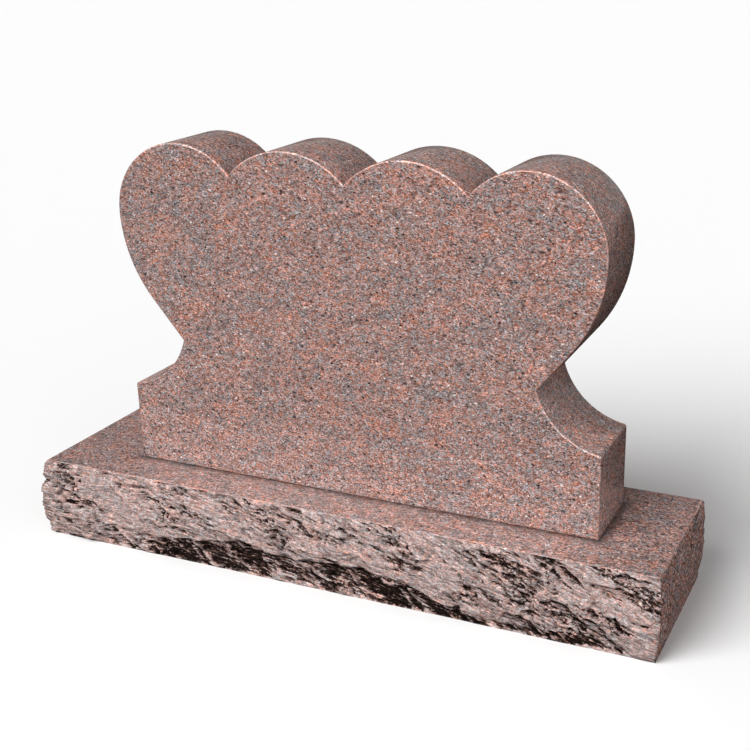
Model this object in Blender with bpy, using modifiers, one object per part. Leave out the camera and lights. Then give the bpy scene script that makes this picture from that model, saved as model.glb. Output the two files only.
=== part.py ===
"""A companion heart headstone: a double-heart tablet standing on a rock-pitched base.

Metres, +Z up. The origin is on the ground, under the middle of the base. The tablet's front
faces -Y. The tablet is a flat outline of arcs, extruded and eased along both faces. The base
is a block with a flat top and underside, whose four sides are broken to a rock face.
"""

import math
import random
from collections import namedtuple

import bmesh
import bpy
from mathutils import Vector, noise

# Tablet: overall sizes and the outline, whose heights are measured from its own foot
TABLET_WIDTH = 1.219
TABLET_THICKNESS = 0.203
TABLET_HEIGHT = 0.815
NOTCH_SPACING = 0.297
NOTCH_DEPTH = 0.065
HEART_SIDE_RADIUS = 0.330
COVE_RADIUS = 0.185
COVE_DEPTH = 0.161
CUSP_RISE = 0.131
FOOT_HEIGHT = 0.203
FOOT_CORNER_RADIUS = 0.008
ARRIS_WIDTH = 0.003

# Base: the flat top, the height, and how far each broken side stands out past the top's edge
BASE_LENGTH = 1.605
BASE_DEPTH = 0.405
BASE_HEIGHT = 0.207
FRONT_REACH = 0.021
BACK_REACH = 0.021
LEFT_END_REACH = 0.025
RIGHT_END_REACH = 0.016

# Where the tablet stands on the base, from the middle of the base's top
TABLET_RIGHT_OF_MIDDLE = 0.023
TABLET_BEHIND_MIDDLE = 0.010
BED_GAP = 0.0003

# The rock face: the crest is the height where a side stands out most
CREST_HEIGHT = 0.105
CREST_WANDER = 0.030
CREST_WANDER_LENGTH = 0.300
BELLY_SHARE = 0.66
BELLY_FOOT_SHARE = 0.10
BELLY_FULLNESS = 0.7
PITCH_LINE_DEPTH = 0.014
FOOT_LINE_DEPTH = 0.036
CORNER_SETBACK_SHARE = 0.25
CORNER_ROUNDING = 0.045
DEEPEST_HOLLOW = 0.012

# How broken each side is: the front and the back fully, the right end only faintly
FULLY_BROKEN = 1.0
LEFT_END_BROKEN = 0.8
RIGHT_END_BROKEN = 0.4

# Broken facets, each a small tilted plane, and finer chips over them. They lean down to the right
LEAN_OF_FACETS = -0.45
FACET_LENGTH = 0.105
FACET_HEIGHT = 0.050
FACET_RELIEF = 0.016
CHIP_LENGTH = 0.048
CHIP_HEIGHT = 0.026
CHIP_RELIEF = 0.007
FACET_TILT = 1.1
FACET_TILT_UPWARDS = 0.6
FACET_STEP_OUT = 0.8
FACET_BLEND = 0.30
FACET_SCATTER = 37.0
CHIPS_NOISE_SHIFT = 5.0
BORDER_WARP_SIZE = 0.055
BORDER_WARP = 0.016
LEDGE_WARP_SHARE = 0.3
ROUGHNESS_SIZE = 0.045
ROUGHNESS_RELIEF = 0.0040
ROUGHNESS_OCTAVES = 3
LEDGE_LIP = 0.016

# Ledges of the front face, each a break with a hollow under it: where it starts and ends along
# the face from its middle, its height above the ground there, the hollow's depth and its reach
FRONT_LEDGES = (
    ((-0.790, 0.150), (-0.640, 0.118), 0.008, 0.022),
    ((-0.625, 0.180), (-0.490, 0.186), 0.008, 0.022),
    ((-0.520, 0.176), (-0.385, 0.122), 0.009, 0.024),
    ((-0.640, 0.074), (-0.440, 0.056), 0.013, 0.036),
    ((-0.470, 0.062), (-0.180, 0.096), 0.022, 0.050),
    ((-0.240, 0.098), (-0.060, 0.062), 0.022, 0.050),
    ((-0.110, 0.084), (0.040, 0.012), 0.018, 0.040),
    ((-0.010, 0.100), (0.130, 0.078), 0.016, 0.034),
    ((0.090, 0.092), (0.260, 0.020), 0.020, 0.036),
    ((-0.140, 0.206), (0.020, 0.140), 0.009, 0.028),
    ((0.060, 0.178), (0.290, 0.112), 0.010, 0.024),
    ((0.190, 0.086), (0.400, 0.010), 0.019, 0.042),
    ((0.370, 0.200), (0.560, 0.172), 0.013, 0.030),
    ((0.340, 0.112), (0.450, 0.098), 0.009, 0.022),
    ((0.460, 0.066), (0.560, 0.016), 0.014, 0.030),
    ((0.560, 0.120), (0.700, 0.070), 0.014, 0.030),
    ((0.575, 0.207), (0.665, 0.168), 0.014, 0.028),
    ((0.615, 0.072), (0.740, 0.022), 0.014, 0.030),
    ((0.680, 0.172), (0.810, 0.152), 0.013, 0.028),
)

# Ledges of the back and the ends are strewn, by each side's own seed, this many for each metre
STREWN_LEDGES_PER_METRE = 7.0
STREWN_LEDGE_HEIGHT_SHARES = (0.25, 0.95)
STREWN_LEDGE_LEANS = (0.2, 1.2)
STREWN_LEDGE_LENGTH = (0.090, 0.220)
STREWN_LEDGE_DEPTH = (0.006, 0.013)
STREWN_LEDGE_REACH = (0.020, 0.045)
BACK_SEED = 21
RIGHT_END_SEED = 34
LEFT_END_SEED = 55
# Blender's noise vectors follow the clock unless they are given a seed, so the borders get one.
# This one gives the borders of the solids that were handed in.
BORDER_SEED = 1796119202

# Depth at which each side cuts the noise, so that no two sides are alike
FRONT_NOISE_DEPTH = 0.0
BACK_NOISE_DEPTH = 3.7
RIGHT_END_NOISE_DEPTH = 7.3
LEFT_END_NOISE_DEPTH = 11.9

# Fineness of the faceted solids, and the largest angle that is shaded as smooth
ARC_STEP = 0.020
FACE_STEP = 0.016
WELD_DISTANCE = 0.00005
SMOOTH_UP_TO_DEGREES = 35.0

# Finish: linear colour, roughness and metallic value
POLISHED_GRANITE = ((0.245, 0.130, 0.112, 1.0), 0.22, 0.0)
ROCK_GRANITE = ((0.300, 0.185, 0.168, 1.0), 0.85, 0.0)

# A broken side: the axis it faces along and which way, its length, its depth in the noise,
# how far it stands out, how broken it is, and its ledges
Side = namedtuple("Side", "axis facing length noise_depth reach brokenness ledges")


def clear_scene():
    for item in list(bpy.data.objects):
        bpy.data.objects.remove(item, do_unlink=True)


def new_collection(name):
    collection = bpy.data.collections.new(name)
    bpy.context.scene.collection.children.link(collection)
    return collection


def stone_material(name, finish):
    colour, roughness, metallic = finish
    material = bpy.data.materials.new(name)
    material.use_nodes = True
    shader = material.node_tree.nodes["Principled BSDF"]
    shader.inputs["Base Color"].default_value = colour
    shader.inputs["Roughness"].default_value = roughness
    shader.inputs["Metallic"].default_value = metallic
    return material


def on_circle(centre, radius, angle):
    return (centre[0] + radius * math.cos(angle), centre[1] + radius * math.sin(angle))


def angle_from(centre, point):
    return math.atan2(point[1] - centre[1], point[0] - centre[0])


def arc_points(centre, radius, start, end, step=ARC_STEP):
    """Points along an arc after its start, so that arcs placed end to end share no point."""
    count = max(2, math.ceil(abs(end - start) * radius / step))
    return [on_circle(centre, radius, start + (end - start) * i / count) for i in range(1, count + 1)]


def half_outline():
    """The tablet's right half from the foot of its right end to the middle notch, as (x, z)."""
    side = TABLET_WIDTH / 2
    notch_height = TABLET_HEIGHT - NOTCH_DEPTH

    # Cove: an arc from the foot's end up to the cusp under the heart
    cove_x = side - COVE_DEPTH + COVE_RADIUS
    cove_drop = math.sqrt(COVE_RADIUS**2 - (cove_x - side) ** 2)
    cove = (cove_x, FOOT_HEIGHT + cove_drop)
    cusp_height = FOOT_HEIGHT + CUSP_RISE
    cusp_in = math.sqrt(COVE_RADIUS**2 - (cove[1] - cusp_height) ** 2)
    cusp = (cove_x - cusp_in, cusp_height)

    # Rounded corner between the foot's end and the cove
    corner_x = side - FOOT_CORNER_RADIUS
    reach = COVE_RADIUS + FOOT_CORNER_RADIUS
    corner = (corner_x, cove[1] - math.sqrt(reach**2 - (cove_x - corner_x) ** 2))
    corner_end = angle_from(corner, cove)

    # Outer lobe: touches the top and the side, and ends in the outer notch
    overhang = side - NOTCH_SPACING
    lobe_radius = overhang + NOTCH_DEPTH - math.sqrt(2 * overhang * NOTCH_DEPTH)
    lobe = (side - lobe_radius, TABLET_HEIGHT - lobe_radius)

    # Heart side: an arc down from the widest place, then a straight run to the cusp
    widest_above_cusp = lobe[1] - cusp[1]
    overlap = side - cusp[0]
    fullest_radius = (overlap**2 + widest_above_cusp**2) / (2 * overlap)
    side_radius = min(HEART_SIDE_RADIUS, fullest_radius)
    heart_side = (side - side_radius, lobe[1])
    to_cusp = math.hypot(cusp[0] - heart_side[0], cusp[1] - heart_side[1])
    side_end = angle_from(heart_side, cusp) + math.acos(min(1.0, side_radius / to_cusp))

    # Inner lobe: an arc through both of its notches that touches the top
    half_chord = NOTCH_SPACING / 2
    inner_radius = (half_chord**2 + NOTCH_DEPTH**2) / (2 * NOTCH_DEPTH)
    inner = (half_chord, TABLET_HEIGHT - inner_radius)
    outer_notch = (NOTCH_SPACING, notch_height)
    middle_notch = (0.0, notch_height)

    points = [(side, 0.0), (side, corner[1])]
    points += arc_points(corner, FOOT_CORNER_RADIUS, 0.0, corner_end, FOOT_CORNER_RADIUS / 2)
    points += arc_points(cove, COVE_RADIUS, corner_end - math.pi, angle_from(cove, cusp))
    points += [on_circle(heart_side, side_radius, side_end)]
    points += arc_points(heart_side, side_radius, side_end, 0.0)
    points += arc_points(lobe, lobe_radius, 0.0, angle_from(lobe, outer_notch))
    points += arc_points(inner, inner_radius, angle_from(inner, outer_notch), angle_from(inner, middle_notch))
    return points


def tablet_outline():
    right = half_outline()
    left = [(-x, z) for x, z in reversed(right[:-1])]
    return right + left


def curve_to_mesh_object(curve_object, name, collection):
    """A mesh object in the place of a filled curve, with the curve's loose caps welded on."""
    bpy.context.view_layer.update()
    evaluated = curve_object.evaluated_get(bpy.context.evaluated_depsgraph_get())
    mesh = bpy.data.meshes.new_from_object(evaluated)
    placed = curve_object.matrix_world.copy()
    bpy.data.objects.remove(curve_object, do_unlink=True)
    solid = bmesh.new()
    solid.from_mesh(mesh)
    bmesh.ops.remove_doubles(solid, verts=solid.verts, dist=WELD_DISTANCE)
    bmesh.ops.dissolve_limit(solid, angle_limit=math.radians(0.1), verts=solid.verts, edges=solid.edges)
    solid.to_mesh(mesh)
    solid.free()
    item = bpy.data.objects.new(name, mesh)
    item.matrix_world = placed
    collection.objects.link(item)
    return item


def mark_rims(item):
    """Marks the edges round both flat faces for easing: those whose ends share a depth."""
    solid = bmesh.new()
    solid.from_mesh(item.data)
    weights = solid.edges.layers.float.new("bevel_weight_edge")
    for edge in solid.edges:
        first, second = (vertex.co.z for vertex in edge.verts)
        edge[weights] = 1.0 if abs(first - second) < TABLET_THICKNESS / 2 else 0.0
    solid.to_mesh(item.data)
    solid.free()


def make_tablet(collection):
    curve = bpy.data.curves.new("tablet_outline", "CURVE")
    curve.dimensions = "2D"
    curve.fill_mode = "BOTH"
    curve.extrude = TABLET_THICKNESS / 2
    outline = tablet_outline()
    spline = curve.splines.new("POLY")
    spline.points.add(len(outline) - 1)
    for point, (x, z) in zip(spline.points, outline):
        point.co = (x, z, 0.0, 1.0)
    spline.use_cyclic_u = True
    drawn = bpy.data.objects.new("tablet_outline", curve)
    drawn.rotation_euler = (math.pi / 2, 0.0, 0.0)
    drawn.location = (TABLET_RIGHT_OF_MIDDLE, TABLET_BEHIND_MIDDLE, BASE_HEIGHT + BED_GAP)
    collection.objects.link(drawn)

    tablet = curve_to_mesh_object(drawn, "tablet", collection)
    mark_rims(tablet)
    easing = tablet.modifiers.new("arris", "BEVEL")
    easing.limit_method = "WEIGHT"
    easing.offset_type = "OFFSET"
    easing.width = ARRIS_WIDTH
    easing.segments = 2
    easing.harden_normals = False
    tablet.data.materials.append(stone_material("polished_granite", POLISHED_GRANITE))
    return tablet


def smooth_step(value, low, high):
    share = min(1.0, max(0.0, (value - low) / (high - low)))
    return share * share * (3.0 - 2.0 * share)


def strewn_ledges(seed, half_length):
    draw = random.Random(seed)
    ledges = []
    for _ in range(round(STREWN_LEDGES_PER_METRE * 2 * half_length)):
        height = BASE_HEIGHT * draw.uniform(*STREWN_LEDGE_HEIGHT_SHARES)
        start = (draw.uniform(-half_length, half_length), height)
        run = draw.uniform(*STREWN_LEDGE_LENGTH)
        lean = LEAN_OF_FACETS * draw.uniform(*STREWN_LEDGE_LEANS)
        end = (start[0] + run, start[1] + run * lean)
        ledges.append((start, end, draw.uniform(*STREWN_LEDGE_DEPTH), draw.uniform(*STREWN_LEDGE_REACH)))
    return ledges


def ledge_hollow(along, up, ledge):
    """Depth of the hollow under one ledge: sharp at its lip, running out below it."""
    start, end, depth, reach = ledge
    run = Vector((end[0] - start[0], end[1] - start[1]))
    offset = Vector((along - start[0], up - start[1]))
    share = offset.dot(run) / run.length_squared
    if not 0.0 < share < 1.0:
        return 0.0
    below = (offset.x * run.y - offset.y * run.x) / run.length
    if below <= 0.0:
        return 0.0
    taper = math.sqrt(math.sin(math.pi * share))
    return depth * taper * smooth_step(below, 0.0, LEDGE_LIP) * math.exp(-((below / reach) ** 2))


def facets(along, up, noise_depth, length, height):
    """Height of a broken surface made of tilted planes, one for each cell of a leaning pattern."""
    leaning = up - LEAN_OF_FACETS * along
    place = Vector((along / length, leaning / height, noise_depth))
    distances, middles = noise.voronoi(place)
    total = 0.0
    weights = 0.0
    for distance, middle in zip(distances[:3], middles[:3]):
        weight = max(0.0, 1.0 - (distance - distances[0]) / FACET_BLEND) ** 2
        drawn = noise.cell_vector(middle * FACET_SCATTER)
        away = place - middle
        plane = FACET_TILT * (drawn.x - 0.5) * away.x
        plane += FACET_TILT * (drawn.y - FACET_TILT_UPWARDS) * away.y
        plane += FACET_STEP_OUT * (drawn.z - 0.5)
        total += weight * plane
        weights += weight
    return total / weights


def belly(up, crest):
    """Share of a side's belly at a height: none at the top's edge, all of it at the crest."""
    if up >= crest:
        return math.sin(math.pi / 2 * (BASE_HEIGHT - up) / (BASE_HEIGHT - crest)) ** BELLY_FULLNESS
    return BELLY_FOOT_SHARE + (1.0 - BELLY_FOOT_SHARE) * math.sin(math.pi / 2 * up / crest)


def rock_relief(along, up, side):
    """How far one point of a broken side stands out past the top's edge."""
    place = Vector((along, up, side.noise_depth))
    warp = BORDER_WARP * noise.noise_vector(place / BORDER_WARP_SIZE)
    facet_place = (along + warp.x, up + warp.y, side.noise_depth)
    chip_place = (along + warp.x, up + warp.y, side.noise_depth + CHIPS_NOISE_SHIFT)
    ledge_place = (along + LEDGE_WARP_SHARE * warp.x, up + LEDGE_WARP_SHARE * warp.y)

    broken = FACET_RELIEF * facets(*facet_place, FACET_LENGTH, FACET_HEIGHT)
    broken += CHIP_RELIEF * facets(*chip_place, CHIP_LENGTH, CHIP_HEIGHT)
    broken += ROUGHNESS_RELIEF * noise.fractal(place / ROUGHNESS_SIZE, 1.0, 2.0, ROUGHNESS_OCTAVES)
    broken -= sum(ledge_hollow(*ledge_place, ledge) for ledge in side.ledges)
    broken *= smooth_step(BASE_HEIGHT - up, 0.0, PITCH_LINE_DEPTH) * smooth_step(up, 0.0, FOOT_LINE_DEPTH)

    wander = noise.noise(Vector((along / CREST_WANDER_LENGTH, 0.0, side.noise_depth)))
    to_corner = smooth_step(side.length / 2 - abs(along), 0.0, CORNER_ROUNDING)
    rounding = 1.0 - CORNER_SETBACK_SHARE * (1.0 - to_corner)
    relief = side.reach * BELLY_SHARE * belly(up, CREST_HEIGHT + CREST_WANDER * wander) * rounding
    relief += side.brokenness * broken
    return min(side.reach, max(-DEEPEST_HOLLOW, relief))


def cut_across(block, axis, length, step):
    """Cuts a block in even slices along one axis."""
    count = math.ceil(length / step)
    for i in range(1, count):
        place = Vector((0.0, 0.0, 0.0))
        place[axis] = length * (i / count - 0.5)
        normal = Vector((0.0, 0.0, 0.0))
        normal[axis] = 1.0
        everything = block.verts[:] + block.edges[:] + block.faces[:]
        bmesh.ops.bisect_plane(block, geom=everything, plane_co=place, plane_no=normal)


def break_side(block, side):
    """The moves that break one side of the block to a rock face standing out by the side's reach."""
    half = (BASE_LENGTH, BASE_DEPTH)[side.axis] / 2
    moves = []
    for vertex in block.verts:
        if abs(vertex.co[side.axis] * side.facing - half) > FACE_STEP / 100:
            continue
        up = vertex.co.z + BASE_HEIGHT / 2
        if min(up, BASE_HEIGHT - up) > FACE_STEP / 100:
            moves.append([vertex, side.axis, rock_relief(vertex.co[1 - side.axis], up, side)])
    farthest = max(moves, key=lambda move: move[2])
    farthest[2] = side.reach
    return [(vertex, axis, out * side.facing) for vertex, axis, out in moves]


def make_base(collection):
    block = bmesh.new()
    bmesh.ops.create_cube(block, size=1.0)
    bmesh.ops.scale(block, vec=(BASE_LENGTH, BASE_DEPTH, BASE_HEIGHT), verts=block.verts)
    for axis, length in enumerate((BASE_LENGTH, BASE_DEPTH, BASE_HEIGHT)):
        cut_across(block, axis, length, FACE_STEP)
    back = strewn_ledges(BACK_SEED, BASE_LENGTH / 2)
    right_end = strewn_ledges(RIGHT_END_SEED, BASE_DEPTH / 2)
    left_end = strewn_ledges(LEFT_END_SEED, BASE_DEPTH / 2)
    sides = (
        Side(1, -1, BASE_LENGTH, FRONT_NOISE_DEPTH, FRONT_REACH, FULLY_BROKEN, FRONT_LEDGES),
        Side(1, 1, BASE_LENGTH, BACK_NOISE_DEPTH, BACK_REACH, FULLY_BROKEN, back),
        Side(0, 1, BASE_DEPTH, RIGHT_END_NOISE_DEPTH, RIGHT_END_REACH, RIGHT_END_BROKEN, right_end),
        Side(0, -1, BASE_DEPTH, LEFT_END_NOISE_DEPTH, LEFT_END_REACH, LEFT_END_BROKEN, left_end),
    )
    moves = []
    for side in sides:
        moves += break_side(block, side)
    for vertex, axis, out in moves:
        vertex.co[axis] += out
    flat_faces = [face for face in block.faces if abs(face.normal.z) > 0.999]
    bmesh.ops.translate(block, vec=(0.0, 0.0, BASE_HEIGHT / 2), verts=block.verts)
    bmesh.ops.dissolve_faces(block, faces=flat_faces, use_verts=True)
    mesh = bpy.data.meshes.new("base")
    block.to_mesh(mesh)
    block.free()
    base = bpy.data.objects.new("base", mesh)
    collection.objects.link(base)
    mesh.materials.append(stone_material("rock_granite", ROCK_GRANITE))
    return base


def main():
    clear_scene()
    noise.seed_set(BORDER_SEED)
    headstone = new_collection("heart_headstone")
    tablet = make_tablet(headstone)
    base = make_base(headstone)
    tablet.parent = base
    tablet.matrix_parent_inverse = base.matrix_world.inverted()
    for item in (tablet, base):
        item.data.shade_smooth()
        item.data.set_sharp_from_angle(angle=math.radians(SMOOTH_UP_TO_DEGREES))


main()
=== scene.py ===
import math
import random
from collections import namedtuple

import bmesh
import bpy
import numpy as np
from mathutils import Matrix, Vector, noise


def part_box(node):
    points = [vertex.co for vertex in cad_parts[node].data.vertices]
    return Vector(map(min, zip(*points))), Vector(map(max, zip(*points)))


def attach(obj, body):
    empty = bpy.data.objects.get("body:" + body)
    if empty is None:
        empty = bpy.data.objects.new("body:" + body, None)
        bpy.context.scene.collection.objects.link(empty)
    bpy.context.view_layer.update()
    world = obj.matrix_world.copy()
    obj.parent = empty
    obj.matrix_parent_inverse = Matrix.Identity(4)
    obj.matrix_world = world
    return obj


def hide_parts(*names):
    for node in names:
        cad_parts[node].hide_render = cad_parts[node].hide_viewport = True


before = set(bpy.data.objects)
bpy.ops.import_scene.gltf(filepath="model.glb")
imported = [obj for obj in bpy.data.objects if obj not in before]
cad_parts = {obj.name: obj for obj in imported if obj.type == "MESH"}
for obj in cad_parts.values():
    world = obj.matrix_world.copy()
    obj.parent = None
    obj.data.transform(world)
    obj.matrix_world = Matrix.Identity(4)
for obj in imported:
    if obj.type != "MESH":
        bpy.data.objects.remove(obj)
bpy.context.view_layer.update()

# Sizes of the tablet and the base, in metres. They are the solids' own, but for a finer arris and a
# left end that stands out further.
TABLET_WIDTH = 1.219
TABLET_THICKNESS = 0.203
TABLET_HEIGHT = 0.815
NOTCH_SPACING = 0.297
NOTCH_DEPTH = 0.065
HEART_SIDE_RADIUS = 0.330
COVE_RADIUS = 0.185
COVE_DEPTH = 0.161
CUSP_RISE = 0.131
FOOT_HEIGHT = 0.203
FOOT_CORNER_RADIUS = 0.008
ARRIS_WIDTH = 0.0028
BASE_LENGTH = 1.605
BASE_DEPTH = 0.405
BASE_HEIGHT = 0.207
FRONT_REACH = 0.021
BACK_REACH = 0.021
LEFT_END_REACH = 0.034
RIGHT_END_REACH = 0.016

# The rock face: the solids' forms with crisper facets and ledges, thinner lines at the top and the
# foot, deeper hollows and less broken ends
CREST_HEIGHT = 0.105
CREST_WANDER = 0.030
CREST_WANDER_LENGTH = 0.300
BELLY_SHARE = 0.66
BELLY_FOOT_SHARE = 0.10
BELLY_FULLNESS = 0.7
PITCH_LINE_DEPTH = 0.012
FOOT_LINE_DEPTH = 0.008
FOOT_LINE_START = -0.0015
CORNER_SETBACK_SHARE = 0.25
CORNER_ROUNDING = 0.045
DEEPEST_HOLLOW = 0.014
FULLY_BROKEN = 1.0
LEFT_END_BROKEN = 0.7
RIGHT_END_BROKEN = 0.2
LEAN_OF_FACETS = -0.45
FACET_LENGTH = 0.105
FACET_HEIGHT = 0.050
FACET_RELIEF = 0.016
CHIP_LENGTH = 0.048
CHIP_HEIGHT = 0.026
CHIP_RELIEF = 0.007
FACET_TILT = 1.1
FACET_TILT_UPWARDS = 0.6
FACET_STEP_OUT = 0.8
FACET_BLEND = 0.07
FACET_SCATTER = 37.0
CHIPS_NOISE_SHIFT = 5.0
BORDER_WARP_SIZE = 0.055
BORDER_WARP = 0.016
# Blender's noise vectors follow the clock unless they are given a seed. This one is the solids' own.
BORDER_SEED = 1796119202
LEDGE_WARP_SHARE = 0.3
ROUGHNESS_SIZE = 0.045
ROUGHNESS_RELIEF = 0.0040
ROUGHNESS_OCTAVES = 3
LEDGE_LIP = 0.008
FRONT_LEDGES = (
    ((-0.790, 0.150), (-0.640, 0.118), 0.008, 0.022),
    ((-0.625, 0.180), (-0.490, 0.186), 0.008, 0.022),
    ((-0.520, 0.176), (-0.385, 0.122), 0.009, 0.024),
    ((-0.640, 0.074), (-0.440, 0.056), 0.013, 0.036),
    ((-0.470, 0.062), (-0.180, 0.096), 0.022, 0.050),
    ((-0.240, 0.098), (-0.060, 0.062), 0.022, 0.050),
    ((-0.110, 0.084), (0.040, 0.012), 0.018, 0.040),
    ((-0.010, 0.100), (0.130, 0.078), 0.016, 0.034),
    ((0.090, 0.092), (0.260, 0.020), 0.020, 0.036),
    ((-0.140, 0.206), (0.020, 0.140), 0.009, 0.028),
    ((0.060, 0.178), (0.290, 0.112), 0.010, 0.024),
    ((0.190, 0.086), (0.400, 0.010), 0.019, 0.042),
    ((0.370, 0.200), (0.560, 0.172), 0.013, 0.030),
    ((0.340, 0.112), (0.450, 0.098), 0.009, 0.022),
    ((0.460, 0.066), (0.560, 0.016), 0.014, 0.030),
    ((0.560, 0.120), (0.700, 0.070), 0.014, 0.030),
    ((0.575, 0.207), (0.665, 0.168), 0.014, 0.028),
    ((0.615, 0.072), (0.740, 0.022), 0.014, 0.030),
    ((0.680, 0.172), (0.810, 0.152), 0.013, 0.028),
)
STREWN_LEDGES_PER_METRE = 7.0
STREWN_LEDGE_HEIGHT_SHARES = (0.25, 0.95)
STREWN_LEDGE_LEANS = (0.2, 1.2)
STREWN_LEDGE_LENGTH = (0.090, 0.220)
STREWN_LEDGE_DEPTH = (0.006, 0.013)
STREWN_LEDGE_REACH = (0.020, 0.045)
BACK_SEED = 21
RIGHT_END_SEED = 34
LEFT_END_SEED = 55
FRONT_NOISE_DEPTH = 0.0
BACK_NOISE_DEPTH = 3.7
RIGHT_END_NOISE_DEPTH = 7.3
LEFT_END_NOISE_DEPTH = 11.9

# Relief that only the visual mesh has: ragged borders, streaks, splinters, shards, cracks, pits
RAGGED_WARP = 0.0030
RAGGED_WARP_SIZE = 0.012
STREAK_LEANS = (-0.03, -0.34)
STREAK_LENGTH = 0.100
STREAK_WIDTH = 0.0125
STREAK_RELIEF = 0.0070
STREAK_WAVER = 0.35
SPLINTER_LEAN = -0.50
SPLINTER_LENGTH = 0.120
SPLINTER_WIDTH = 0.015
SPLINTER_RELIEF = 0.0062
SPLINTER_LEAST = 0.35
SHARD_LENGTH = 0.052
SHARD_HEIGHT = 0.013
SHARD_RELIEF = 0.0034
SHARD_NOISE_SHIFT = 9.0
GRIT_SIZE = 0.009
GRIT_RELIEF = 0.0007
GRIT_OCTAVES = 2
CRACKS_PER_SQUARE_METRE = 110
CRACK_LENGTH = (0.025, 0.110)
CRACK_LEANS = (-1.00, -0.15)
CRACK_DEPTH = (0.002, 0.006)
CRACK_REACH = (0.003, 0.007)
CRACK_LIP = 0.003
PIT_LENGTH = 0.017
PIT_HEIGHT = 0.0065
PIT_DEPTH = 0.006
PIT_BANDS = 0.130
PIT_STARTS = (0.56, 0.72)
PITTED_STARTS = (0.10, 0.60)
# Painted shade in pitted bands
PITTED_SHADE = 0.40
FINGER_LEAN = -0.95
FINGER_LENGTH = 0.200
FINGER_WIDTH = 0.030
FINGER_SHARE = 0.62
FINGER_STARTS = (-0.05, 0.25)
FINGERED_SHARE_OF_BANDS = 0.5
CALM_LENGTH = 0.110
CALM_HEIGHT = 0.040
CALM_SHARE = 0.75
CALM_STARTS = (0.02, 0.30)
# Calm parts and the ridge get painted light
CALM_PAINTED_LIGHT = 0.62
RIDGE_HEIGHT = 0.125
RIDGE_HALF_HEIGHT = 0.024
RIDGE_CALM = 0.38
UNDERCUT_BAND = (
    ((-0.680, 0.028), (-0.180, 0.074), 0.008, 0.070),
    ((-0.300, 0.076), (0.180, 0.084), 0.011, 0.078),
    ((0.000, 0.086), (0.500, 0.012), 0.011, 0.060),
)
# Painted shade towards the foot of the rock face
FOOT_SHADE_HEIGHT = 0.022
FOOT_SHADE = 0.45
UNDERCUT_REACH_SHARE = 1.5
SQUASHED_BELOW = -0.008
SQUASH = 0.45
HOLLOW_BLUR = 0.011
HOLLOW_FULL = 0.0045
UNDERCUT_FULL = 0.021
# Painted shade on the rock face: its cap above the ridge and its share from sunk places
PAINTED_SHADE_CAP_ABOVE_RIDGE = 0.72
SUNK_PAINTED_SHADE = 0.7
TOP_EDGE_REACH = 0.0005

FLOOR_HALF_SIZE = 60.0

# Fineness of the visual meshes
ARC_STEP = 0.006
ROCK_STEP_UP = 0.0028
FRONT_STEP = 0.0025
BACK_STEP = 0.0052
END_STEP = 0.0032
BASE_ARRIS = 0.0018
ARRIS_SEGMENTS = 3
SMOOTH_UP_TO_DEGREES = 32.0

# The tablet's arris gets a painted highlight where it faces this way
ARRIS_HIGHLIGHT_TOWARDS = (0.42, -0.30, 0.86)

# The camera, solved from the photo's straight edges
CAMERA_PLACE = (1.3203, -2.4778, 1.5107)
CAMERA_TURN = math.radians(22.31)
CAMERA_RISE = math.radians(20.24)
CAMERA_LENS = 59.65
CAMERA_SENSOR = 36.0
CAMERA_SHIFT_X = -0.136

# One side of the base: its axis and the way it faces, its size and noise, its relief, and its grid
Side = namedtuple("Side", (
    "axis facing length noise_depth reach brokenness ledges bands step pits fine setback"
))

# Material slots of the tablet and of the base
TABLET_FACE, TABLET_ARRIS, TABLET_SIDES = 0, 1, 2
BASE_ROCK, BASE_TOP, BASE_EDGE_SLOT, BASE_RIGHT_END = 0, 1, 2, 3


def on_circle(centre, radius, angle):
    return (centre[0] + radius * math.cos(angle), centre[1] + radius * math.sin(angle))


def angle_from(centre, point):
    return math.atan2(point[1] - centre[1], point[0] - centre[0])


def arc_points(centre, radius, start, end, step=ARC_STEP):
    count = max(2, math.ceil(abs(end - start) * radius / step))
    return [on_circle(centre, radius, start + (end - start) * i / count) for i in range(1, count + 1)]


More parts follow.
